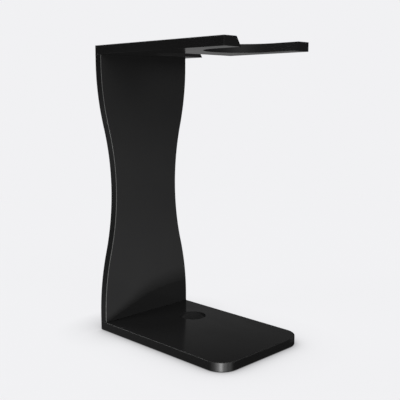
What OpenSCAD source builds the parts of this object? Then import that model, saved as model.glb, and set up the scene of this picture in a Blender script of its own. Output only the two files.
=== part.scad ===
// Desk stand made of three flat panels: a base, a waisted upright at its back
// edge, and a top plate that reaches forward over the base. The top plate has
// a flared notch open to the front and a flared slot open to the right side.
// The base has a round hole under the slot.
// Origin: centre of the footprint, at the bottom of the feet. +X is the right
// side, -Y is the front and +Z is up. All sizes are in millimetres.

/* [Panels] */
// Width of the three panels
panel_w = 100; // [90:1:130]
// Depth of the base and of the top plate, front to back
panel_d = 150; // [140:1:190]
// Thickness of the three panels
panel_t = 7.5; // [7:0.5:10]
// Height from the bottom of the feet to the top face
total_h = 252; // [245:1:320]

/* [Base] */
// Plan radius of the two front corners
corner_r = 16; // [5:1:24]
// Diameter of the round hole
hole_d = 23; // [10:0.5:30]
// Distance of the hole's centre to the right of the centre line
hole_x = 20; // [10:1:30]

/* [Upright] */
// Width at the waist, which is at half height
waist_w = 71.4; // [60:0.2:84]
// Height of one side curve, from the waist to the full width
blend_h = 112; // [90:1:114]

/* [Top plate] */
// Width of the front notch at the underside
notch_w = 63.4; // [50:0.2:66]
// Distance from the front edge to the centre of the notch's round end
notch_reach = 25; // [15:1:28]
// Width of the side slot at the underside
slot_w = 35; // [20:0.5:38]
// X of the centre of the slot's round end
slot_end_x = -1; // [-8:1:10]
// Distance from the back edge to the centre line of the slot and of the hole
slot_back = 47.5; // [42:0.5:48]
// How far the walls of both openings lean out, from the underside to the top
flare = 4.8; // [0:0.2:5]

/* [Feet] */
// Diameter of a foot
foot_d = 10; // [8:0.5:12]
// Thickness of a foot
foot_t = 1.5; // [1:0.1:2]
// How far a foot stands out of the base
foot_out = 0.5; // [0.3:0.1:0.9]
// Distance of a foot's centre from the panel's edges
foot_inset = 14; // [12:1:18]

/* [Fixings] */
// Diameter of the screws' shanks and of the pins
pin_d = 3; // [2:0.5:3]
// Length of a base screw, head included
screw_l = 20; // [16:1:25]
// Distance of a base screw from the centre line
screw_x = 22; // [15:1:30]
// Distance of a pin from the centre line
pin_x = 40; // [36:1:43]
// Length of a pin
pin_l = 14; // [10:1:16]

/* [Hidden] */
$fn = 96;

// Overshoot of a cutting shape past the face that it cuts.
cut = 1;
// Radial gap between a pin or a screw and its hole, and at the end of a pin.
pin_gap = 0.02;
end_gap = 0.3;
// A pin's depth in the base or in the top plate. The rest is in the upright.
pin_in_plate = 4.5;
// Countersunk head: its radius, its height and how deep it sits.
head_r = pin_d * 0.92;
head_h = head_r - pin_d / 2;
head_sink = 0.2;
// Hexagon socket of a screw: distance across its flats and depth.
socket_af = pin_d * 2 / 3;
socket_deep = 1;
// Gap round a foot in its recess.
foot_gap = 0.1;

front = -panel_d / 2;
back = panel_d / 2;
base_z = foot_out;
base_top = base_z + panel_t;
plate_z = total_h - panel_t;
upright_h = plate_z - base_top;
upright_y = back - panel_t / 2;
slot_y = back - slot_back;

// The side curve is two equal arcs that meet half-way between the waist and
// the full width, each with this radius.
inset = (panel_w - waist_w) / 2;
half_blend = blend_h / 2;
side_r = (pow(half_blend, 2) + pow(inset / 2, 2)) / inset;

// A round hole along Z from z0 to z1.
module bore(r, z0, z1) {
    translate([0, 0, z0]) cylinder(r = r, h = z1 - z0);
}

// Copies its children at +x and at -x.
module pair(x) {
    for (side = [-1, 1])
        translate([side * x, 0, 0]) children();
}

// Cutting shape of a flared opening, with its round end centred on the origin
// and its straight part running to +X. w is its width at the underside, z 0.
module flared_cut(w, run) {
    lean = flare / panel_t;
    r_low = w / 2 - lean * cut;
    r_high = w / 2 + lean * (panel_t + cut);
    translate([0, 0, -cut]) cylinder(r1 = r_low, r2 = r_high, h = panel_t + 2 * cut);
    rotate([90, 0, 90]) linear_extrude(run)
        polygon([
            [-r_low, -cut], [r_low, -cut],
            [r_high, panel_t + cut], [-r_high, panel_t + cut]
        ]);
}

// What a rounded corner loses: the corner is the origin, the panel is at
// +X and +Y.
module corner_loss() {
    difference() {
        translate([-cut, -cut]) square(corner_r + cut);
        translate([corner_r, corner_r]) circle(corner_r);
    }
}

module base_plate() {
    color([0.05, 0.05, 0.055])
    difference() {
        translate([0, 0, base_z]) linear_extrude(panel_t) difference() {
            translate([-panel_w / 2, front]) square([panel_w, panel_d]);
            for (side = [0, 1])
                mirror([side, 0]) translate([-panel_w / 2, front]) corner_loss();
            translate([hole_x, slot_y]) circle(d = hole_d);
        }
        for (place = foot_places)
            translate(place) bore(foot_d / 2 + foot_gap, -cut, foot_t);
        translate([0, upright_y, 0]) {
            pair(screw_x) {
                bore(pin_d / 2 + 2 * pin_gap, base_z - cut, base_top + cut);
                screw_head(pin_gap);
                bore(head_r + pin_gap, base_z - cut, base_z + head_sink);
            }
            pair(pin_x) bore(pin_d / 2, base_top - pin_in_plate, base_top + cut);
        }
    }
}

// One lobe that the waist loses on the right, with the waist's centre as the
// origin, in X across and Y up.
module waist_loss() {
    intersection() {
        translate([waist_w / 2 + side_r, 0]) circle(side_r, $fn = 360);
        translate([0, -half_blend]) square([panel_w, blend_h]);
    }
    for (end = [0, 1])
        mirror([0, end]) difference() {
            translate([panel_w / 2 - inset / 2, half_blend])
                square([inset / 2 + cut, half_blend]);
            translate([panel_w / 2 - side_r, blend_h]) circle(side_r, $fn = 360);
        }
}

module upright_panel() {
    color([0.09, 0.09, 0.095])
    difference() {
        translate([0, back, base_top]) rotate([90, 0, 0]) linear_extrude(panel_t)
            difference() {
                translate([-panel_w / 2, 0]) square([panel_w, upright_h]);
                for (side = [0, 1])
                    mirror([side, 0]) translate([0, upright_h / 2]) waist_loss();
            }
        translate([0, upright_y, 0]) {
            pair(screw_x) bore(pin_d / 2, base_top - cut, base_z + screw_l + cut);
            pair(pin_x) {
                bore(pin_d / 2, base_top - cut, base_top + pin_l - pin_in_plate);
                bore(pin_d / 2, plate_z - pin_l + pin_in_plate, plate_z + cut);
            }
        }
    }
}

module top_plate() {
    color([0.07, 0.07, 0.075])
    difference() {
        translate([-panel_w / 2, front, plate_z]) cube([panel_w, panel_d, panel_t]);
        translate([0, front + notch_reach, plate_z])
            rotate(-90) flared_cut(notch_w, notch_reach + cut);
        translate([slot_end_x, slot_y, plate_z])
            flared_cut(slot_w, panel_w / 2 - slot_end_x + cut);
        translate([0, upright_y, 0])
            pair(pin_x) bore(pin_d / 2, plate_z - cut, plate_z + pin_in_plate);
    }
}

// Centres of the feet, in the order of their nodes.
foot_places = [
    for (y = [front + foot_inset, back - foot_inset], side = [-1, 1])
        [side * (panel_w / 2 - foot_inset), y, 0]
];

// A soft disc with a chamfered rim, set in a recess of the base.
module foot(place) {
    rim = foot_out / 2;
    color([0.14, 0.14, 0.14]) translate(place) {
        cylinder(r1 = foot_d / 2 - rim, r2 = foot_d / 2, h = rim);
        bore(foot_d / 2, rim, foot_t);
    }
}

// The cone of a countersunk head, larger all round by grow.
module screw_head(grow) {
    translate([0, 0, base_z + head_sink])
        cylinder(r1 = head_r + grow, r2 = pin_d / 2 + grow, h = head_h);
}

module base_screws() {
    color("silver") translate([0, upright_y, 0]) pair(screw_x) difference() {
        union() {
            screw_head(0);
            bore(pin_d / 2 - pin_gap, base_z + head_sink, base_z + screw_l);
        }
        translate([0, 0, base_z]) linear_extrude(head_sink + socket_deep)
            circle(d = socket_af / cos(30), $fn = 6);
    }
}

// A row of two pins, of which the lower end is at z.
module pins(z) {
    color("gainsboro") translate([0, upright_y, 0]) pair(pin_x)
        bore(pin_d / 2 - pin_gap, z + end_gap, z + pin_l - end_gap);
}

module base_pins() {
    pins(base_top - pin_in_plate);
}

module top_pins() {
    pins(plate_z - pin_l + pin_in_plate);
}

base_plate();
upright_panel();
top_plate();
foot(foot_places[0]);  // foot_front_left
foot(foot_places[1]);  // foot_front_right
foot(foot_places[2]);  // foot_back_left
foot(foot_places[3]);  // foot_back_right
base_screws();
base_pins();
top_pins();
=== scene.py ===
"""Looks of a desk stand made of three gloss black panels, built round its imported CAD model.

The base, the upright and the top plate are drawn as outlines of straight lines and arcs, and each
outline is carried through the panel's thickness with rounded edges. The feet, screws and pins are
turned. The stage is a pale floor and backdrop with soft lights. All sizes are in metres unless a
comment says otherwise, in the frame of the CAD model: +X is the stand's right, -Y its front and
+Z is up.
"""

import math
from dataclasses import dataclass

import bmesh
import bpy
from mathutils import Euler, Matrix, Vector
from mathutils.geometry import tessellate_polygon


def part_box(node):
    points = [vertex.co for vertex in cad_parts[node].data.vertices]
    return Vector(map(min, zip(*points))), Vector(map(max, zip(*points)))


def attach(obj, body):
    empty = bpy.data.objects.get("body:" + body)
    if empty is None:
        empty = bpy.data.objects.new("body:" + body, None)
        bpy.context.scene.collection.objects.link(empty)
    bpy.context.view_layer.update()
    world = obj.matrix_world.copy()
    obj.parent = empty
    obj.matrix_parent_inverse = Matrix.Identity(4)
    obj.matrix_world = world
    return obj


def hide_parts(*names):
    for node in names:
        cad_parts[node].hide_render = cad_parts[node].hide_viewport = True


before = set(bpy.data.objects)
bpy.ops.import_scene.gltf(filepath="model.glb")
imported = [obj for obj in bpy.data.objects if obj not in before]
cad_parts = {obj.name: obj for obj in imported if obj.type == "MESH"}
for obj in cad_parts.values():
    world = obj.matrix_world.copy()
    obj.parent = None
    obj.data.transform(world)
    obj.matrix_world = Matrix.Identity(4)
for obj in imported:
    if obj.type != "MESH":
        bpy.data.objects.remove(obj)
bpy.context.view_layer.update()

MM = 0.001

# Panels, where the CAD boxes don't give the size.
CORNER_R = 16 * MM
HOLE_R = 11.5 * MM
HOLE_X = 20 * MM
WAIST_W = 71.4 * MM
BLEND_H = 112 * MM
NOTCH_HALF = 31.7 * MM
NOTCH_REACH = 25 * MM
SLOT_HALF = 17.5 * MM
SLOT_END_X = -1 * MM
SLOT_BACK = 47.5 * MM
FLARE = 4.8 * MM

# Edges: how round a finished edge is, how round it stays where two panels meet, how round the
# upright's front edge is on the base, and the plan radius of the corners that look sharp.
EDGE = 0.4 * MM
SEAM_EDGE = 0.08 * MM
FOOT_EDGE = 0.3 * MM
SHARP_CORNER = 0.46 * MM

# How strongly the eased edges are painted paler than the faces, as a painted highlight line: faintly
# on the flat panels, strongly on the upright.
FLAT_EDGE_HIGHLIGHT = 0.1
UPRIGHT_EDGE_HIGHLIGHT = 1.0

# Fixings and their holes.
FEET = ["foot_front_left", "foot_front_right", "foot_back_left", "foot_back_right"]
PIN_R = 1.5 * MM
PIN_X = 40 * MM
PIN_DEEP = 4.5 * MM
PIN_REST = 9.5 * MM
SCREW_X = 22 * MM
SCREW_L = 20 * MM
HEAD_R = 2.76 * MM
HEAD_SINK = 0.2 * MM
SOCKET_R = 1.155 * MM
SOCKET_DEEP = 1.0 * MM
THREAD_PITCH = 0.5 * MM
THREAD_DEEP = 0.27 * MM
FOOT_GAP = 0.1 * MM
HOLE_GAP = 0.02 * MM

# A thread's ridge: how far from its middle the crest ends and the foot lies, in pitches.
THREAD_CREST = 0.15
THREAD_FOOT = 0.4

# How finely the meshes are made: how far a chord may lie from its arc, the steps across an eased
# edge, round a turned shape, round a pin, round a screw and up one turn of its thread, and the
# degrees in one step of a small rounding.
CHORD_ERROR = 0.003 * MM
EDGE_STEPS = 6
TURN_STEPS = 48
PIN_STEPS = 32
SCREW_STEPS = 36
THREAD_RINGS = 6
ROUNDING_STEP = 15

# How far round the first point of a turned ring lies, in radians per metre of x.
TWIST = 130.0

# Points nearer than this are one point, a face whose normal comes this near to an axis is flat,
# and the screws' edges of more than so many degrees are shaded sharp.
SAME_PLACE = 1e-7
FLAT = 0.9999
SHARP_ANGLE = 35

# The view: the camera's azimuth and elevation in degrees, its distance from the point that it
# looks at, and its lens and sensor in millimetres.
CAMERA_AZIMUTH = -45.19
CAMERA_ELEVATION = 8.587
CAMERA_DISTANCE = 0.5883
CAMERA_AIM = Vector((0.0001, -0.0014, 0.1215))
CAMERA_LENS = 61.96
CAMERA_SENSOR = 36

# The pale backdrop's colour, the same on the floor where nothing shades it.
BACKDROP = (0.8796, 0.8796, 0.8963)

# The floor: its radius and the steps round its rim, between which radii it fades into the
# backdrop, and how much of the backdrop's brightness it has of its own and as a matt colour.
FLOOR_R = 1.6
FLOOR_STEPS = 96
FLOOR_FADE = (0.45, 0.9)
FLOOR_GLOW = 0.967
FLOOR_MATT = 0.04

# How far the painted shade by the stand reaches across the floor, how strong it is, and from how many
# samples.
SHADE_REACH = 0.045
SHADE_POWER = 1.0
SHADE_SAMPLES = 16

# The black card under the base, painted shade that the gloss mirrors: how far it stays inside the
# base, and how bright its painted glow is, which stands in for the floor seen through the hole.
SHADE_INSET = 7 * MM
PAINTED_HOLE_GLOW = 0.14

# The low light's place, and the two cards that shade parts of the object from it: their height,
# how far above the base's top face the first one's shade ends, and how far past the light the
# second one reaches.
LOW_LIGHT = Vector((-0.103, -0.200, -0.0133))
FLAG_LEVEL = -1 * MM
FLAG_MARGIN = 1.5 * MM
FLAG_REACH = 8.5 * MM

# What the gloss mirrors in a dark room: soft patches of light, each with the direction it lies in
# (degrees left of the front, degrees above the horizon), half its width and height as shares of a
# radian, and its brightness.
PATCHES = [
    (48, -22, 0.19, 0.07, 8.8),
    (66, -22, 0.28, 0.07, 3.3),
    (25, -22, 0.20, 0.07, 2.5),
    (0, -22, 0.25, 0.07, 1.2),
    (95, -22, 0.25, 0.07, 0.55),
    (45, -8, 0.38, 0.12, 1.3),
    (60, 8, 0.35, 0.12, 0.9),
    (143, 26, 0.25, 0.10, 7.0),
    (225, -6, 0.50, 0.07, 0.24),
    (225, 17.3, 0.50, 0.056, 0.165),
    (0, 85, 0.28, 0.28, 0.8),
    (180, -15, 0.5, 0.15, 0.4),
    (-45, -3, 0.45, 0.12, 0.05),
    (-45, -13, 0.45, 0.04, 0.08),
    (135, -20, 0.45, 0.12, 0.10),
]

# The panels' boxes, and what follows from them.
base_low, base_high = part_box("base_plate")
upright_low, upright_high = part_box("upright_panel")
top_low, top_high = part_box("top_plate")
HALF_W = base_high.x
FRONT = base_low.y
BACK = base_high.y
SLOT_Y = BACK - SLOT_BACK
UPRIGHT_Y = (upright_low.y + upright_high.y) / 2
MIDDLE_Z = (upright_low.z + upright_high.z) / 2


def add_object(name, data):
    """A new object in the scene."""
    made = bpy.data.objects.new(name, data)
    bpy.context.scene.collection.objects.link(made)
    return made


@dataclass
class Arc:
    """A stretch of an outline: an arc about (u, v), or one point of a straight line if it has no
    sweep. An arc that turns left is a convex corner. low and high are the edge radii at the two
    faces. slide and grow say how the centre and the radius change per metre of thickness. A joined
    arc starts where the one before it ends."""

    u: float
    v: float
    radius: float
    start: float
    end: float
    low: float = EDGE
    high: float = EDGE
    slide: tuple = (0.0, 0.0)
    grow: float = 0.0
    joined: bool = False

    def side(self):
        return -1.0 if self.end < self.start else 1.0

    def angles(self):
        sweep = math.radians(abs(self.end - self.start))
        if sweep == 0:
            return [math.radians(self.start)]
        step = 2 * math.acos(1 - CHORD_ERROR / self.radius)
        count = math.ceil(sweep / step)
        turn = (self.end - self.start) / count
        return [math.radians(self.start + turn * i) for i in range(self.joined, count + 1)]


class Builder:
    """A mesh in the making, with a normal and an edge mark for each vertex."""

    def __init__(self):
        self.bm = bmesh.new()
        self.normals = []
        self.marks = []

    def vertex(self, place, normal, mark=0.0):
        self.normals.append(Vector(normal).normalized())
        self.marks.append(mark)
        return self.bm.verts.new(place)

    def band(self, low_ring, high_ring):
        """Joins two rings of the same length with quads."""
        count = len(low_ring)
        for i in range(count):
            j = (i + 1) % count
            self.bm.faces.new((low_ring[i], low_ring[j], high_ring[j], high_ring[i]))

    def cap(self, ring, up):
        return self.bm.faces.new(ring if up else list(reversed(ring)))

    def pierce(self, face, rings):
        """Cuts rings that lie in a flat face out of it."""
        face.normal_update()
        normal = face.normal.copy()
        loops = [list(face.verts)] + rings
        corners = [vertex for loop in loops for vertex in loop]
        triangles = tessellate_polygon([[vertex.co for vertex in loop] for loop in loops])
        self.bm.faces.remove(face)
        for triangle in triangles:
            a, b, c = (corners[i] for i in triangle)
            if (b.co - a.co).cross(c.co - a.co).dot(normal) < 0:
                b, c = c, b
            self.bm.faces.new((a, b, c))

    def finish(self, name, own_normals=True):
        """The object made of this mesh, shaded by the normals given or by its sharp edges."""
        mesh = bpy.data.meshes.new(name)
        self.bm.to_mesh(mesh)
        self.bm.free()
        mark = mesh.attributes.new("edge", "FLOAT", "POINT")
        mark.data.foreach_set("value", self.marks)
        mesh.shade_smooth()
        if own_normals:
            mesh.normals_split_custom_set_from_vertices(self.normals)
        else:
            mesh.set_sharp_from_angle(angle=math.radians(SHARP_ANGLE))
        return add_object(name, mesh)


def panel(arcs, low, high, place, pale=FLAT_EDGE_HIGHLIGHT):
    """A builder that holds the outline carried from low to high, and its two flat faces.
    place turns (u, v, height) into a point or a direction of the frame, and pale says how strongly
    the eased edges are painted lighter than the faces, as a painted highlight line."""
    work = Builder()
    thickness = high - low
    stations = []
    for quarter in (0, 1):
        for i in range(EDGE_STEPS + 1):
            stations.append((quarter, math.radians(90 * (quarter - 1) + 90 * i / EDGE_STEPS)))
    rings = []
    for quarter, tilt in stations:
        ring = []
        for arc in arcs:
            edge = arc.high if quarter else arc.low
            inset = edge * (1 - math.cos(tilt))
            if quarter:
                height = thickness - edge * (1 - math.sin(tilt))
            else:
                height = edge * (1 + math.sin(tilt))
            for angle in arc.angles():
                ray = Vector((math.cos(angle), math.sin(angle)))
                out = ray * arc.side()
                speed = Vector(arc.slide) + ray * arc.grow
                centre = Vector((arc.u, arc.v)) + Vector(arc.slide) * height
                point = centre + ray * (arc.radius + arc.grow * height) - out * inset
                rise = math.sin(tilt) - speed.dot(out) * math.cos(tilt)
                normal = place(out.x * math.cos(tilt), out.y * math.cos(tilt), rise)
                # The edge mark is highest halfway round a finished edge, where the painted highlight
                # line lies.
                mark = pale * math.sin(2 * abs(tilt)) if edge == EDGE else 0.0
                ring.append(work.vertex(place(point.x, point.y, low + height), normal, mark))
        rings.append(ring)
    for low_ring, high_ring in zip(rings, rings[1:]):
        work.band(low_ring, high_ring)
    low_face = work.cap(rings[0], up=False)
    high_face = work.cap(rings[-1], up=True)
    return work, low_face, high_face


def flat_place(u, v, w):
    """The place of a panel that lies flat."""
    return Vector((u, v, w))


def upright_place(u, v, w):
    """The place of the panel that stands, with its front at the high face."""
    return Vector((u, -w, v))


def eased(points):
    """Rounds the corners of a line of (r, z, corner radius). Gives places with their normals, which
    point to the right of the way the line goes."""
    stops = []
    for i, (r, z, radius) in enumerate(points):
        here = Vector((r, z))
        before = Vector(points[i - 1][:2]) if i else None
        after = Vector(points[i + 1][:2]) if i + 1 < len(points) else None
        way_in = (here - before).normalized() if before else (after - here).normalized()
        way_out = (after - here).normalized() if after else way_in
        turn = way_in.cross(way_out)
        angle = math.atan2(turn, way_in.dot(way_out))
        back = abs(radius * math.tan(angle / 2))
        start = here - way_in * back
        side = 1.0 if angle > 0 else -1.0
        centre = start + Vector((-way_in.y, way_in.x)) * radius * side
        steps = max(1, math.ceil(abs(math.degrees(angle)) / ROUNDING_STEP)) if radius else 0
        for k in range(steps + 1):
            bend = angle * k / steps if steps else 0.0
            way = Vector((
                way_in.x * math.cos(bend) - way_in.y * math.sin(bend),
                way_in.x * math.sin(bend) + way_in.y * math.cos(bend),
            ))
            normal = Vector((way.y, -way.x))
            spot = centre + normal * radius * side if steps else here
            if not stops or (spot - stops[-1][0]).length > SAME_PLACE:
                stops.append((spot, normal))
    return stops


def turned(work, x, y, points, steps=TURN_STEPS):
    """Rings about the upright axis at (x, y), for a line of (r, z, corner radius). They start at
    an angle that differs from place to place, so that no three points of a pierced face line up."""
    rings = []
    first = TWIST * x
    for spot, normal in eased(points):
        ring = []
        for i in range(steps):
            angle = first + 2 * math.pi * i / steps
            ray = Vector((math.cos(angle), math.sin(angle), 0))
            centre = Vector((x, y, spot.y))
            ring.append(work.vertex(centre + ray * spot.x, ray * normal.x + Vector((0, 0, normal.y))))
        rings.append(ring)
    for low_ring, high_ring in zip(rings, rings[1:]):
        work.band(low_ring, high_ring)
    return rings


def through_hole(work, x, y, radius, low, high, edge):
    """A hole with both rims eased. Gives the rings that lie in the low and the high face."""
    rings = turned(work, x, y, [
        (radius + edge, high, 0),
        (radius, high, edge),
        (radius, low, edge),
        (radius + edge, low, 0),
    ], steps=TURN_STEPS * 2)
    return rings[-1], rings[0]


def pocket_above(work, x, y, radius, low, high, edge):
    """A blind hole that opens downwards at low. Gives the ring that lies in the low face."""
    rings = turned(work, x, y, [
        (radius / 2, high, 0),
        (radius, high, edge),
        (radius, low, edge),
        (radius + edge, low, 0),
    ])
    work.cap(rings[0], up=False)
    return rings[-1]


def pocket_below(work, x, y, radius, low, high, edge):
    """A blind hole that opens upwards at high. Gives the ring that lies in the high face."""
    rings = turned(work, x, y, [
        (radius + edge, high, 0),
        (radius, high, edge),
        (radius, low, edge),
        (radius / 2, low, 0),
    ])
    work.cap(rings[-1], up=True)
    return rings[0]


def screw_hole(work, x):
    """The countersunk hole of a base screw, from the top face down to the bottom one."""
    head = HEAD_R + HOLE_GAP
    shank = PIN_R + 2 * HOLE_GAP
    rim = base_low.z + HEAD_SINK
    rings = turned(work, x, UPRIGHT_Y, [
        (shank + SEAM_EDGE, base_high.z, 0),
        (shank, base_high.z, SEAM_EDGE),
        (shank, rim + head - shank, SEAM_EDGE),
        (head, rim, SEAM_EDGE / 2),
        (head, base_low.z, SEAM_EDGE),
        (head + SEAM_EDGE, base_low.z, 0),
    ])
    return rings[-1], rings[0]


def corner(x, y, start, radius=SHARP_CORNER, **finish):
    """The convex corner of a box outline at (x, y), starting at that angle."""
    middle = math.radians(start + 45)
    u = x - math.copysign(radius, math.cos(middle))
    v = y - math.copysign(radius, math.sin(middle))
    return Arc(u, v, radius, start, start + 90, **finish)


def seam_points(x, way, **seam):
    """Two points of a side where its edge goes from eased to sharp, in the way the outline runs."""
    angle = 0 if x > 0 else 180
    eased_y = upright_low.y - 2 * EDGE
    points = [Arc(x, eased_y, 0, angle, angle), Arc(x, upright_low.y, 0, angle, angle, **seam)]
    return points if way > 0 else points[::-1]


def base_panel():
    seam = {"high": SEAM_EDGE}
    arcs = [
        corner(-HALF_W, FRONT, 180, CORNER_R),
        corner(HALF_W, FRONT, 270, CORNER_R),
        *seam_points(HALF_W, 1, **seam),
        corner(HALF_W, BACK, 0, **seam),
        corner(-HALF_W, BACK, 90, **seam),
        *seam_points(-HALF_W, -1, **seam),
    ]
    work, low_face, high_face = panel(arcs, base_low.z, base_high.z, flat_place)
    low, high = through_hole(work, HOLE_X, SLOT_Y, HOLE_R, base_low.z, base_high.z, EDGE)
    low_rings = [low]
    high_rings = [high]
    for name in FEET:
        foot_low, foot_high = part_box(name)
        centre = (foot_low + foot_high) / 2
        radius = (foot_high.x - foot_low.x) / 2 + FOOT_GAP
        low_rings.append(pocket_above(
            work, centre.x, centre.y, radius, base_low.z, foot_high.z, SEAM_EDGE))
    for side in (-1, 1):
        low, high = screw_hole(work, side * SCREW_X)
        low_rings.append(low)
        high_rings.append(high)
        high_rings.append(pocket_below(
            work, side * PIN_X, UPRIGHT_Y, PIN_R, base_high.z - PIN_DEEP, base_high.z, SEAM_EDGE))
    work.pierce(low_face, low_rings)
    work.pierce(high_face, high_rings)
    return work.finish("base_panel")


def side_curve(side):
    """The arcs of one side of the upright, upwards on the right and downwards on the left."""
    inset = HALF_W - WAIST_W / 2
    half = BLEND_H / 2
    radius = (half ** 2 + (inset / 2) ** 2) / inset
    sweep = math.degrees(math.asin(half / radius))
    facing = 0 if side > 0 else 180
    ends = side * (HALF_W - radius)
    waist = side * (WAIST_W / 2 + radius)
    first = MIDDLE_Z - side * BLEND_H
    last = MIDDLE_Z + side * BLEND_H
    return [
        Arc(ends, first, radius, facing, facing + sweep),
        Arc(waist, MIDDLE_Z, radius, facing + 180 + sweep, facing + 180 - sweep, joined=True),
        Arc(ends, last, radius, facing - sweep, facing, joined=True),
    ]


def upright():
    """The waisted panel. Its front edge on the base is eased but for the last millimetre at each
    side."""
    seam = {"low": SEAM_EDGE, "high": SEAM_EDGE}
    low = upright_low.z
    high = upright_high.z
    near_low = low + 2 * EDGE
    near_high = high - 2 * EDGE
    arcs = [
        corner(-HALF_W, low, 180, 2 * SEAM_EDGE, **seam),
        Arc(-HALF_W + MM, low, 0, 270, 270, SEAM_EDGE, FOOT_EDGE),
        Arc(HALF_W - MM, low, 0, 270, 270, SEAM_EDGE, FOOT_EDGE),
        corner(HALF_W, low, 270, 2 * SEAM_EDGE, **seam),
        Arc(HALF_W, near_low, 0, 0, 0),
        *side_curve(1),
        Arc(HALF_W, near_high, 0, 0, 0),
        corner(HALF_W, high, 0, 2 * SEAM_EDGE, **seam),
        corner(-HALF_W, high, 90, 2 * SEAM_EDGE, **seam),
        Arc(-HALF_W, near_high, 0, 180, 180),
        *side_curve(-1),
        Arc(-HALF_W, near_low, 0, 180, 180),
    ]
    work, _, _ = panel(arcs, -upright_high.y, -upright_low.y, upright_place, UPRIGHT_EDGE_HIGHLIGHT)
    work.bm.normal_update()
    ends = {}
    for way in (-1, 1):
        facing = [face for face in work.bm.faces if face.normal.z * way > FLAT]
        ends[way] = max(facing, key=lambda face: face.calc_area())
    low_rings = []
    high_rings = []
    for side in (-1, 1):
        low_rings.append(pocket_above(
            work, side * PIN_X, UPRIGHT_Y, PIN_R, low, low + PIN_REST, SEAM_EDGE))
        low_rings.append(pocket_above(
            work, side * SCREW_X, UPRIGHT_Y, PIN_R, low, base_low.z + SCREW_L + MM, SEAM_EDGE))
        high_rings.append(pocket_below(
            work, side * PIN_X, UPRIGHT_Y, PIN_R, high - PIN_REST, high, SEAM_EDGE))
    work.pierce(ends[-1], low_rings)
    work.pierce(ends[1], high_rings)
    return work.finish("upright_body")


def top_panel():
    seam = {"low": SEAM_EDGE}
    lean = FLARE / (top_high.z - top_low.z)
    tip = SHARP_CORNER
    notch_end = FRONT + NOTCH_REACH
    arcs = [
        corner(-HALF_W, FRONT, 180),
        Arc(-NOTCH_HALF - tip, FRONT + tip, tip, 270, 360, slide=(-lean, 0)),
        Arc(0, notch_end, NOTCH_HALF, 180, 0, grow=lean),
        Arc(NOTCH_HALF + tip, FRONT + tip, tip, 180, 270, slide=(lean, 0)),
        corner(HALF_W, FRONT, 270),
        Arc(HALF_W - tip, SLOT_Y - SLOT_HALF - tip, tip, 0, 90, slide=(0, -lean)),
        Arc(SLOT_END_X, SLOT_Y, SLOT_HALF, 270, 90, grow=lean),
        Arc(HALF_W - tip, SLOT_Y + SLOT_HALF + tip, tip, 270, 360, slide=(0, lean)),
        *seam_points(HALF_W, 1, **seam),
        corner(HALF_W, BACK, 0, **seam),
        corner(-HALF_W, BACK, 90, **seam),
        *seam_points(-HALF_W, -1, **seam),
    ]
    work, low_face, _ = panel(arcs, top_low.z, top_high.z, flat_place)
    work.pierce(low_face, [
        pocket_above(work, side * PIN_X, UPRIGHT_Y, PIN_R, top_low.z, top_low.z + PIN_DEEP, SEAM_EDGE)
        for side in (-1, 1)
    ])
    return work.finish("top_panel")


def foot(node):
    """A moulded rubber disc with a soft rim and a ring groove in its sole."""
    low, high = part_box(node)
    centre = (low + high) / 2
    radius = (high.x - low.x) / 2
    middle = 0.2 * radius
    rim = 0.22 * MM
    groove = 0.1 * MM
    groove_in = 0.5 * radius
    groove_out = 0.63 * radius
    slope = 0.03 * radius
    work = Builder()
    rings = turned(work, centre.x, centre.y, [
        (middle, low.z, 0),
        (groove_in, low.z, groove / 2),
        (groove_in + slope, low.z + groove, groove / 2),
        (groove_out - slope, low.z + groove, groove / 2),
        (groove_out, low.z, groove / 2),
        (radius, low.z, rim),
        (radius, high.z, rim),
        (middle, high.z, 0),
    ])
    work.cap(rings[0], up=False)
    work.cap(rings[-1], up=True)
    return work.finish(node.replace("foot", "rubber_foot"))


def thread_radius(angle, height, outer):
    """The radius of a screw's thread, a trapezoid ridge that climbs one pitch a turn."""
    phase = (height / THREAD_PITCH - angle / (2 * math.pi)) % 1.0
    ridge = (THREAD_FOOT - abs(phase - 0.5)) / (THREAD_FOOT - THREAD_CREST)
    ridge = min(1.0, max(0.0, ridge))
    return outer - THREAD_DEEP * (1 - ridge)


def ring_of(work, x, radii, height, normal):
    """A ring of a screw at x, with one vertex for each of the radii."""
    ring = []
    for i, radius in enumerate(radii):
        angle = 2 * math.pi * i / len(radii)
        place = (x + radius * math.cos(angle), UPRIGHT_Y + radius * math.sin(angle), height)
        ring.append(work.vertex(place, normal))
    return ring


def screw_profile(shank):
    """The heights and radii of a screw's head and of the plain stretch above it."""
    low = base_low.z + HEAD_SINK
    neck = low + HEAD_R - PIN_R
    rim = 0.25 * MM
    rim_rounding = 0.06 * MM
    neck_rounding = 0.1 * MM
    plain = 1.2 * MM
    profile = eased([
        (HEAD_R - rim, low, 0),
        (HEAD_R, low, rim_rounding),
        (shank, neck + PIN_R - shank, neck_rounding),
        (shank, neck + plain, 0),
    ])
    return [(spot.y, spot.x) for spot, _ in profile]


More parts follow.
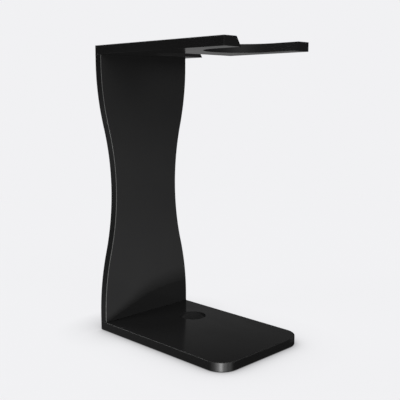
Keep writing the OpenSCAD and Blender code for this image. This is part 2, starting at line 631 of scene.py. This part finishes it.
def add_screw(work, x):
    """A countersunk screw, head down, with a hexagon socket and a cut thread."""
    shank = PIN_R - HOLE_GAP
    tip = base_low.z + SCREW_L
    tip_taper = 0.4 * MM
    tip_radius = 0.72 * shank
    rings = [(height, [radius] * SCREW_STEPS) for height, radius in screw_profile(shank)]
    thread_low = rings[-1][0]
    rise = THREAD_PITCH / THREAD_RINGS
    for k in range(1, int((tip - tip_taper - thread_low) / rise) + 1):
        height = thread_low + k * rise
        fade = min(1.0, k / (2 * THREAD_RINGS))
        rings.append((height, [
            shank + (thread_radius(2 * math.pi * i / SCREW_STEPS, height, shank) - shank) * fade
            for i in range(SCREW_STEPS)
        ]))
    rings.append((tip, [tip_radius] * SCREW_STEPS))
    made = [ring_of(work, x, radii, height, (0, 0, 1)) for height, radii in rings]
    for low_ring, high_ring in zip(made, made[1:]):
        work.band(low_ring, high_ring)
    work.cap(made[-1], up=True)
    low = rings[0][0]
    mouth = 1.08 * SOCKET_R
    lead_in = 0.08 * MM
    hexagon = 6
    socket = [
        ring_of(work, x, [radius] * hexagon, low + depth, (0, 0, -1))
        for radius, depth in ((mouth, 0), (SOCKET_R, lead_in), (SOCKET_R, SOCKET_DEEP))
    ]
    for outer, inner in zip(socket, socket[1:]):
        work.band(inner, outer)
    work.cap(socket[-1], up=False)
    work.pierce(work.cap(made[0], up=False), [socket[0]])


def screws():
    work = Builder()
    for side in (-1, 1):
        add_screw(work, side * SCREW_X)
    return work.finish("countersunk_screws", own_normals=False)


def pins(node, name):
    """Two dowel pins with chamfered ends, in the box of that node."""
    low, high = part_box(node)
    work = Builder()
    radius = PIN_R - HOLE_GAP
    middle = 0.3 * radius
    chamfer = 0.25 * MM
    rounding = 0.05 * MM
    for side in (-1, 1):
        rings = turned(work, side * PIN_X, UPRIGHT_Y, [
            (middle, low.z, 0),
            (radius - chamfer, low.z, rounding),
            (radius, low.z + chamfer, rounding),
            (radius, high.z - chamfer, rounding),
            (radius - chamfer, high.z, rounding),
            (middle, high.z, 0),
        ], steps=PIN_STEPS)
        work.cap(rings[0], up=False)
        work.cap(rings[-1], up=True)
    return work.finish(name)


# A mix node's colour sockets, which share their names with its sockets of other kinds.
MIX_FIRST = 6
MIX_SECOND = 7
MIX_RESULT = 2


class Graph:
    """The shader nodes of a material or of the world. Each value that a call takes is a plain one
    or another node's output."""

    def __init__(self, owner):
        owner.use_nodes = True
        self.nodes = owner.node_tree.nodes
        self.links = owner.node_tree.links

    def put(self, value, socket):
        """Links a node's output to a socket, or sets the socket to a plain value."""
        if isinstance(value, bpy.types.NodeSocket):
            self.links.new(value, socket)
        else:
            socket.default_value = value

    def output(self, kind, name):
        """An output of a new node without inputs."""
        return self.nodes.new(kind).outputs[name]

    def attribute(self, name):
        """A number that the mesh holds for each vertex."""
        node = self.nodes.new("ShaderNodeAttribute")
        node.attribute_name = name
        return node.outputs["Fac"]

    def noise(self, place, scale, detail=4.0, along=(1, 1, 1)):
        """A noise value with scale features a metre, times each axis's own share in along."""
        fit = self.nodes.new("ShaderNodeMapping")
        self.put(place, fit.inputs["Vector"])
        self.put(along, fit.inputs["Scale"])
        field = self.nodes.new("ShaderNodeTexNoise")
        self.put(fit.outputs["Vector"], field.inputs["Vector"])
        self.put(scale, field.inputs["Scale"])
        self.put(detail, field.inputs["Detail"])
        return field.outputs["Fac"]

    def ramp(self, value, low, high, to_low, to_high):
        """Carries a value from one range to another, held at its ends."""
        carry = self.nodes.new("ShaderNodeMapRange")
        self.put(value, carry.inputs["Value"])
        self.put(low, carry.inputs["From Min"])
        self.put(high, carry.inputs["From Max"])
        self.put(to_low, carry.inputs["To Min"])
        self.put(to_high, carry.inputs["To Max"])
        return carry.outputs["Result"]

    def math(self, operation, *values):
        """The outcome of a Math node for one or two values."""
        step = self.nodes.new("ShaderNodeMath")
        step.operation = operation
        for value, socket in zip(values, step.inputs):
            self.put(value, socket)
        return step.outputs["Value"]

    def total(self, first, *others):
        """The sum of the values."""
        for other in others:
            first = self.math("ADD", first, other)
        return first

    def blend(self, share, first, second):
        """The first colour, or the second where share is 1."""
        mix = self.nodes.new("ShaderNodeMix")
        mix.data_type = "RGBA"
        self.put(share, mix.inputs["Factor"])
        self.put(first, mix.inputs[MIX_FIRST])
        self.put(second, mix.inputs[MIX_SECOND])
        return mix.outputs[MIX_RESULT]

    def choose(self, share, first, second):
        """The first shader, or the second where share is 1."""
        mix = self.nodes.new("ShaderNodeMixShader")
        self.put(share, mix.inputs["Fac"])
        self.put(first, mix.inputs[1])
        self.put(second, mix.inputs[2])
        return mix.outputs["Shader"]

    def relief(self, height, depth):
        """A normal that shows a height as relief, depth metres deep."""
        bump = self.nodes.new("ShaderNodeBump")
        self.put(height, bump.inputs["Height"])
        self.put(depth, bump.inputs["Distance"])
        self.put(1.0, bump.inputs["Strength"])
        return bump.outputs["Normal"]


class Surface(Graph):
    """The graph of a new material, with its shader and the place on the object in metres."""

    def __init__(self, name):
        self.material = bpy.data.materials.new(name)
        super().__init__(self.material)
        self.shader = self.nodes["Principled BSDF"]
        self.place = self.output("ShaderNodeTexCoord", "Object")

    def set(self, name, value):
        """Gives the shader's input of that name a value."""
        self.put(value, self.shader.inputs[name])


def gloss_black():
    """Black polished plastic: faint wipe marks in the gloss, a very fine waviness, a few faint dust
    motes, and edges that are duller than the faces by their edge mark and painted paler there, as a
    painted highlight line."""
    black = Surface("gloss_black_plastic")
    edge = black.attribute("edge")
    motes = black.ramp(black.noise(black.place, scale=900, detail=1), 0.76, 0.82, 0.0, 0.05)
    # The colour goes towards pale grey by the edge mark, a painted highlight line along the edges,
    # and where the dust motes lie.
    pale = black.math("MAXIMUM", edge, motes)
    mottle = black.noise(black.place, scale=14, detail=3)
    deep = black.blend(mottle, (0.0105, 0.0105, 0.0108, 1), (0.0135, 0.0135, 0.0134, 1))
    black.set("Base Color", black.blend(pale, deep, (0.085, 0.085, 0.083, 1)))
    rubbed = black.noise(black.place, scale=30, detail=5, along=(1, 0.35, 0.35))
    wipes = black.ramp(rubbed, 0.42, 0.7, 0.0, 0.05)
    grain = black.ramp(black.noise(black.place, scale=600, detail=2), 0.3, 0.7, 0.0, 0.02)
    duller = black.math("MULTIPLY", edge, 0.06)
    black.set("Roughness", black.total(wipes, grain, duller, 0.13))
    black.set("IOR", 1.49)
    waves = black.noise(black.place, scale=180, detail=2)
    black.set("Normal", black.relief(waves, depth=0.002 * MM))
    return black.material


def foot_rubber():
    """Dark rubber with a fine moulded grain and a little chalky bloom."""
    rubber = Surface("dark_rubber")
    bloom = rubber.ramp(rubber.noise(rubber.place, scale=240), 0.4, 0.75, 0.0, 1.0)
    rubber.set("Base Color", rubber.blend(bloom, (0.016, 0.016, 0.016, 1), (0.034, 0.033, 0.032, 1)))
    rubber.set("Roughness", rubber.ramp(bloom, 0.0, 1.0, 0.72, 0.9))
    rubber.set("IOR", 1.45)
    grain = rubber.noise(rubber.place, scale=2600, detail=3)
    rubber.set("Normal", rubber.relief(grain, depth=0.03 * MM))
    return rubber.material


def bright_steel(name, along):
    """Bright steel with patches of handling, and with fine lines that run along the axes whose
    share in along is small."""
    steel = Surface(name)
    lines = steel.noise(steel.place, scale=5000, detail=3, along=along)
    steel.set("Base Color", steel.blend(lines, (0.50, 0.50, 0.51, 1), (0.66, 0.66, 0.65, 1)))
    steel.set("Metallic", 1.0)
    handled = steel.math("MULTIPLY", steel.noise(steel.place, scale=350, detail=3), 0.12)
    steel.set("Roughness", steel.total(steel.ramp(lines, 0.3, 0.7, 0.2, 0.32), handled))
    steel.set("Normal", steel.relief(lines, depth=0.008 * MM))
    return steel.material


def dress(piece, material, slot, *replaced):
    """Gives a piece its material, hangs it under the root body and hides the CAD nodes that it stands
    for. The slot is not used.
    """
    piece.data.materials.append(material)
    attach(piece, "root")
    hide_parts(*replaced)


def make_object():
    black = gloss_black()
    dress(base_panel(), black, "gloss_panel", "base_plate")
    dress(upright(), black, "gloss_panel", "upright_panel")
    dress(top_panel(), black, "gloss_panel", "top_plate")
    rubber = foot_rubber()
    for node in FEET:
        dress(foot(node), rubber, "foot_rubber", node)
    turned_steel = bright_steel("turned_steel", along=(0.2, 0.2, 1))
    drawn_steel = bright_steel("drawn_steel", along=(1, 1, 0.08))
    dress(screws(), turned_steel, "fixing_steel", "base_screws")
    dress(pins("base_pins", "base_dowels"), drawn_steel, "fixing_steel", "base_pins")
    dress(pins("top_pins", "top_dowels"), drawn_steel, "fixing_steel", "top_pins")


def toward(azimuth, elevation):
    """The direction that a camera at this azimuth and elevation looks in."""
    a = math.radians(azimuth)
    e = math.radians(elevation)
    return Vector((-math.sin(a) * math.cos(e), math.cos(a) * math.cos(e), -math.sin(e)))


def turn_to(direction):
    """The turn of a camera or a light that points in this direction."""
    return Vector(direction).to_track_quat("-Z", "Y").to_euler()


def make_camera():
    data = bpy.data.cameras.new("camera")
    data.lens = CAMERA_LENS
    data.sensor_width = CAMERA_SENSOR
    camera = add_object("camera", data)
    look = toward(CAMERA_AZIMUTH, CAMERA_ELEVATION)
    camera.location = CAMERA_AIM - look * CAMERA_DISTANCE
    camera.rotation_euler = turn_to(look)
    bpy.context.scene.camera = camera


def patch_light(graph, place, left, above, wide, high, power):
    """The brightness in the direction place of one of the PATCHES."""
    fit = graph.nodes.new("ShaderNodeMapping")
    fit.vector_type = "TEXTURE"
    graph.put(place, fit.inputs["Vector"])
    graph.put(Euler((0, -math.radians(above), -math.radians(90 + left))), fit.inputs["Rotation"])
    parts = graph.nodes.new("ShaderNodeSeparateXYZ")
    graph.put(fit.outputs["Vector"], parts.inputs["Vector"])
    across = graph.math("POWER", graph.math("DIVIDE", parts.outputs["Y"], wide), 2.0)
    up = graph.math("POWER", graph.math("DIVIDE", parts.outputs["Z"], high), 2.0)
    soft = graph.math("EXPONENT", graph.math("MULTIPLY", graph.total(across, up), -1.0))
    ahead = graph.math("GREATER_THAN", parts.outputs["X"], 0.0)
    return graph.math("MULTIPLY", graph.math("MULTIPLY", soft, ahead), power)


def make_room():
    """The world: a flat pale backdrop for the camera, and a dark room with soft lights that only
    the gloss sees."""
    world = bpy.data.worlds.new("room")
    bpy.context.scene.world = world
    graph = Graph(world)
    graph.nodes.clear()
    place = graph.output("ShaderNodeTexCoord", "Generated")
    mirrored = graph.nodes.new("ShaderNodeBackground")
    graph.put(graph.total(*[patch_light(graph, place, *patch) for patch in PATCHES]),
              mirrored.inputs["Color"])
    backdrop = graph.nodes.new("ShaderNodeBackground")
    graph.put((*BACKDROP, 1), backdrop.inputs["Color"])
    seen = graph.choose(graph.output("ShaderNodeLightPath", "Is Camera Ray"),
                        mirrored.outputs["Background"], backdrop.outputs["Background"])
    graph.put(seen, graph.nodes.new("ShaderNodeOutputWorld").inputs["Surface"])
    world.cycles_visibility.diffuse = False


def pale_floor():
    """A floor that glows like the backdrop, but darker by the stand, where painted contact shade
    darkens the glow, and that is a little matt near the stand so that it takes the soft shadows."""
    material = bpy.data.materials.new("pale_floor")
    graph = Graph(material)
    graph.nodes.clear()
    length = graph.nodes.new("ShaderNodeVectorMath")
    length.operation = "LENGTH"
    graph.put(graph.output("ShaderNodeTexCoord", "Object"), length.inputs[0])
    # Ambient occlusion darkens the floor's glow beside the stand: painted contact shade.
    painted_contact_shade = graph.nodes.new("ShaderNodeAmbientOcclusion")
    painted_contact_shade.samples = SHADE_SAMPLES
    graph.put(SHADE_REACH, painted_contact_shade.inputs["Distance"])
    shade = graph.math("POWER", painted_contact_shade.outputs["AO"], SHADE_POWER)
    glow = graph.nodes.new("ShaderNodeEmission")
    graph.put((*BACKDROP, 1), glow.inputs["Color"])
    graph.put(graph.math("MULTIPLY", shade, FLOOR_GLOW), glow.inputs["Strength"])
    matt = graph.nodes.new("ShaderNodeBsdfDiffuse")
    graph.put((*[FLOOR_MATT * level for level in BACKDROP], 1), matt.inputs["Color"])
    near = graph.nodes.new("ShaderNodeAddShader")
    graph.put(glow.outputs["Emission"], near.inputs[0])
    graph.put(matt.outputs["BSDF"], near.inputs[1])
    far = graph.nodes.new("ShaderNodeEmission")
    graph.put((*BACKDROP, 1), far.inputs["Color"])
    fade = graph.ramp(length.outputs["Value"], *FLOOR_FADE, 0.0, 1.0)
    floor = graph.choose(fade, near.outputs["Shader"], far.outputs["Emission"])
    graph.put(floor, graph.nodes.new("ShaderNodeOutputMaterial").inputs["Surface"])
    return material


def stage_sheet(name, work, material):
    """A flat sheet of the stage, made from a bmesh. The object's diffuse light ignores it."""
    mesh = bpy.data.meshes.new(name)
    work.to_mesh(mesh)
    work.free()
    mesh.materials.append(material)
    sheet = add_object(name, mesh)
    sheet.visible_diffuse = False
    return sheet


def make_floor():
    """A pale floor with painted shade by the stand, which takes the soft shadows and fades into the
    backdrop away from the stand.
    """
    work = bmesh.new()
    bmesh.ops.create_circle(work, cap_ends=True, segments=FLOOR_STEPS, radius=FLOOR_R)
    floor = stage_sheet("floor", work, pale_floor())
    floor.visible_glossy = False
    floor.visible_shadow = False


def black_card(name, outline, level, mirrored=True, glow=0.0):
    """A flat black card at that height, which the camera doesn't see and the gloss mirrors or
    not, with a white glow of its own."""
    work = bmesh.new()
    work.faces.new([work.verts.new((x, y, level)) for x, y in outline])
    surface = Surface(name)
    surface.set("Base Color", (0.01, 0.01, 0.01, 1))
    surface.set("Roughness", 1.0)
    surface.set("Emission Color", (1, 1, 1, 1))
    surface.set("Emission Strength", glow)
    card = stage_sheet(name, work, surface.material)
    card.visible_camera = False
    card.visible_glossy = mirrored


def box_outline(left, right, front, back):
    return [(left, front), (right, front), (right, back), (left, back)]


def make_under_shade():
    """A black card under the base that the gloss mirrors, as painted shade under the base, with a
    faint painted glow as of a floor seen through the hole.
    """
    x = HALF_W - SHADE_INSET
    y = BACK - SHADE_INSET
    black_card("under_shade", box_outline(-x, x, -y, y), 0, glow=PAINTED_HOLE_GLOW)


def make_flags():
    """Two cards above the low light. One keeps that light off the base's sides and lets it pass
    over the base's top edges to the upright. The other keeps it off the top plate's front."""
    share = (FLAG_LEVEL - LOW_LIGHT.z) / (base_high.z + FLAG_MARGIN - LOW_LIGHT.z)

    def shade_point(x, y):
        """Where the ray from the light to the base's top edge at (x, y) crosses the card."""
        return (LOW_LIGHT.x + (x - LOW_LIGHT.x) * share, LOW_LIGHT.y + (y - LOW_LIGHT.y) * share)

    outline = []
    for arc in (corner(-HALF_W, FRONT, 180, CORNER_R), corner(HALF_W, FRONT, 270, CORNER_R)):
        for angle in arc.angles():
            x = arc.u + arc.radius * math.cos(angle)
            y = arc.v + arc.radius * math.sin(angle)
            outline.append(shade_point(x, y))
    outline += [(HALF_W, FRONT), (HALF_W, BACK), (-HALF_W, BACK), shade_point(-HALF_W, BACK)]
    black_card("flag", outline, FLAG_LEVEL, mirrored=False)
    aside = 20 * MM
    behind = 5 * MM
    small = box_outline(LOW_LIGHT.x - aside, LOW_LIGHT.x + aside,
                        LOW_LIGHT.y - behind, LOW_LIGHT.y + FLAG_REACH)
    black_card("upper_flag", small, FLAG_LEVEL, mirrored=False)


def add_light(name, kind, power, direction):
    """A light that the gloss doesn't mirror."""
    data = bpy.data.lights.new(name, kind)
    data.energy = power
    light = add_object(name, data)
    light.rotation_euler = turn_to(direction)
    light.visible_glossy = False
    return light


def soft_sun(name, direction, angle, power):
    """Even light from far away, from a round patch of the sky that many degrees across."""
    sun = add_light(name, "SUN", power, direction)
    sun.data.angle = math.radians(angle)


def soft_panel(name, place, aim, size, power):
    """A square light, that many metres wide, which the camera doesn't see."""
    panel_light = add_light(name, "AREA", power, Vector(aim) - place)
    panel_light.data.size = size
    panel_light.location = place
    panel_light.visible_camera = False


def make_lights():
    soft_sun("sky", direction=(0, 0, -1), angle=170, power=0.1)
    soft_sun("key", direction=(0.30, 0.86, -0.41), angle=50, power=2.65)
    soft_sun("side", direction=(0.68, -0.18, -0.71), angle=24, power=1.2)
    soft_sun("back", direction=(0, -0.8, -0.6), angle=40, power=1.3)
    face = (0, upright_low.y, base_high.z + 52 * MM)
    soft_panel("low_light", LOW_LIGHT, aim=face, size=6 * MM, power=1.2)


make_camera()
make_room()
make_floor()
make_under_shade()
make_flags()
make_lights()
make_object()
bpy.context.scene.view_settings.view_transform = "Standard"
